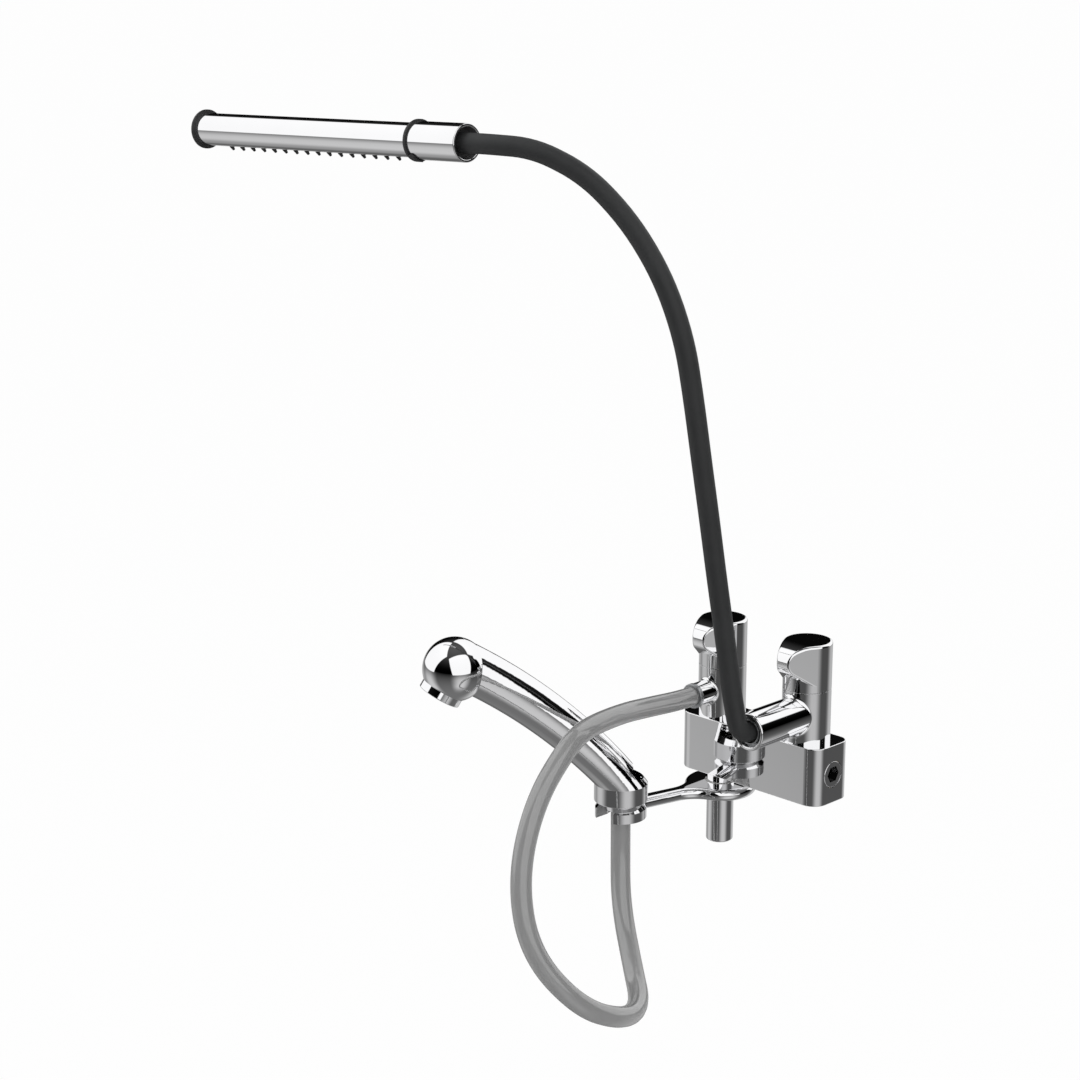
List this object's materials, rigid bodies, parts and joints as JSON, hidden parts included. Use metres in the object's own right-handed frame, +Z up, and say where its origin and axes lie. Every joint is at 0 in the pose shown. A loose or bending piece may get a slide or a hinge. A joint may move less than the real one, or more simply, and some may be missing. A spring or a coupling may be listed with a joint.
{
  "type": "wall-mounted pet bath shower",
  "caption": "Wall-mounted pet bath shower with two valve columns, a handset on a hose in a swivelling ring holder, and a bent arm that carries a shower bar.",
  "frame": {"origin": "middle of the face that lies on the wall, at half the housing's height", "axes": "+Y into the wall, -Y out over the bath, +X along the two columns, +Z up"},
  "size_m": [0.6269, 0.3718, 0.7918],
  "materials": {
    "chrome": "mirror polished",
    "stainless_steel": "plain",
    "brass": "machined",
    "ceramic": "lapped",
    "black_plastic": "matt black",
    "white_plastic": "plain",
    "grey_plastic": "satin",
    "satin_grey": "satin",
    "arm_rubber": "matt",
    "grey_hose": "satin",
    "nozzle_rubber": "matt",
    "seal_rubber": "matt"
  },
  "bodies": {
    "valve_body": {"housing_shell": "chrome", "wall_plate": "stainless_steel", "waterway_casting": "brass", "left_end_plug": "chrome", "right_end_plug": "chrome", "left_column": "chrome", "right_column": "chrome", "left_check_valve": "white_plastic", "right_check_valve": "white_plastic", "left_column_seal": "seal_rubber", "right_column_seal": "seal_rubber", "left_cartridge": "brass", "right_cartridge": "brass", "left_fixed_disc": "ceramic", "right_fixed_disc": "ceramic", "left_gland_nut": "brass", "right_gland_nut": "brass", "spout_lip_ring": "chrome", "spout_grey_ring": "satin_grey", "hose_outlet_flange": "satin_grey", "hose_outlet_nipple": "brass", "pivot_post": "chrome", "post_end_plug": "chrome", "holder_clip": "stainless_steel", "hose": "grey_hose"},
    "left_handle": {"left_handle": "chrome", "left_handle_screw": "stainless_steel", "left_spindle": "brass", "left_turning_disc": "ceramic"},
    "right_handle": {"right_handle": "chrome", "right_handle_screw": "stainless_steel", "right_spindle": "brass", "right_turning_disc": "ceramic"},
    "holder": {"holder_arm": "chrome", "holder_bush": "white_plastic"},
    "handset": {"handset_collar": "chrome", "handset_seal": "seal_rubber", "handset_handle": "chrome", "handset_inner_tube": "white_plastic", "spray_ring": "chrome", "spray_plate": "grey_plastic", "hose_nut": "chrome"},
    "shower_arm": {"arm_root_fitting": "brass", "arm_swivel_seal": "seal_rubber", "arm_sleeve": "arm_rubber", "arm_supply_hose": "arm_rubber", "arm_tip_fitting": "brass", "bar_sleeve": "chrome", "sleeve_inner_plug": "black_plastic"},
    "shower_bar": {"bar_spigot": "white_plastic", "bar_seal": "seal_rubber", "bar_joint_ring": "black_plastic", "bar_tube": "chrome", "nozzle_strip": "nozzle_rubber", "bar_end_ring": "black_plastic", "bar_end_disc": "black_plastic"}
  },
  "joints": [
    {"name": "left_handle_turn", "type": "hinge", "parent": "valve_body", "child": "left_handle", "pos_m": [-0.0508, -0.0365, 0.1], "axis": [0, 0, 1], "range_deg": [-90, 0]},
    {"name": "right_handle_turn", "type": "hinge", "parent": "valve_body", "child": "right_handle", "pos_m": [0.0508, -0.0365, 0.1], "axis": [0, 0, 1], "range_deg": [0, 90]},
    {"name": "holder_swivel", "type": "hinge", "parent": "valve_body", "child": "holder", "pos_m": [-0.0508, -0.0365, -0.045], "axis": [0, 0, 1], "range_deg": [-45, 30], "deforming": ["hose"]},
    {"name": "handset_lift", "type": "slide", "parent": "holder", "child": "handset", "axis": [0, 0, 1], "range_m": [0, 0.012]},
    {"name": "arm_swivel", "type": "hinge", "parent": "valve_body", "child": "shower_arm", "pos_m": [0.0508, -0.12, 0.0532], "axis": [0, 1, 0], "range_deg": [-30, 30]},
    {"name": "shower_bar_roll", "type": "hinge", "parent": "shower_arm", "child": "shower_bar", "pos_m": [-0.175, -0.245, 0.5691], "axis": [-0.9993, 0, -0.0384], "range_deg": [-60, 60]}
  ]
}
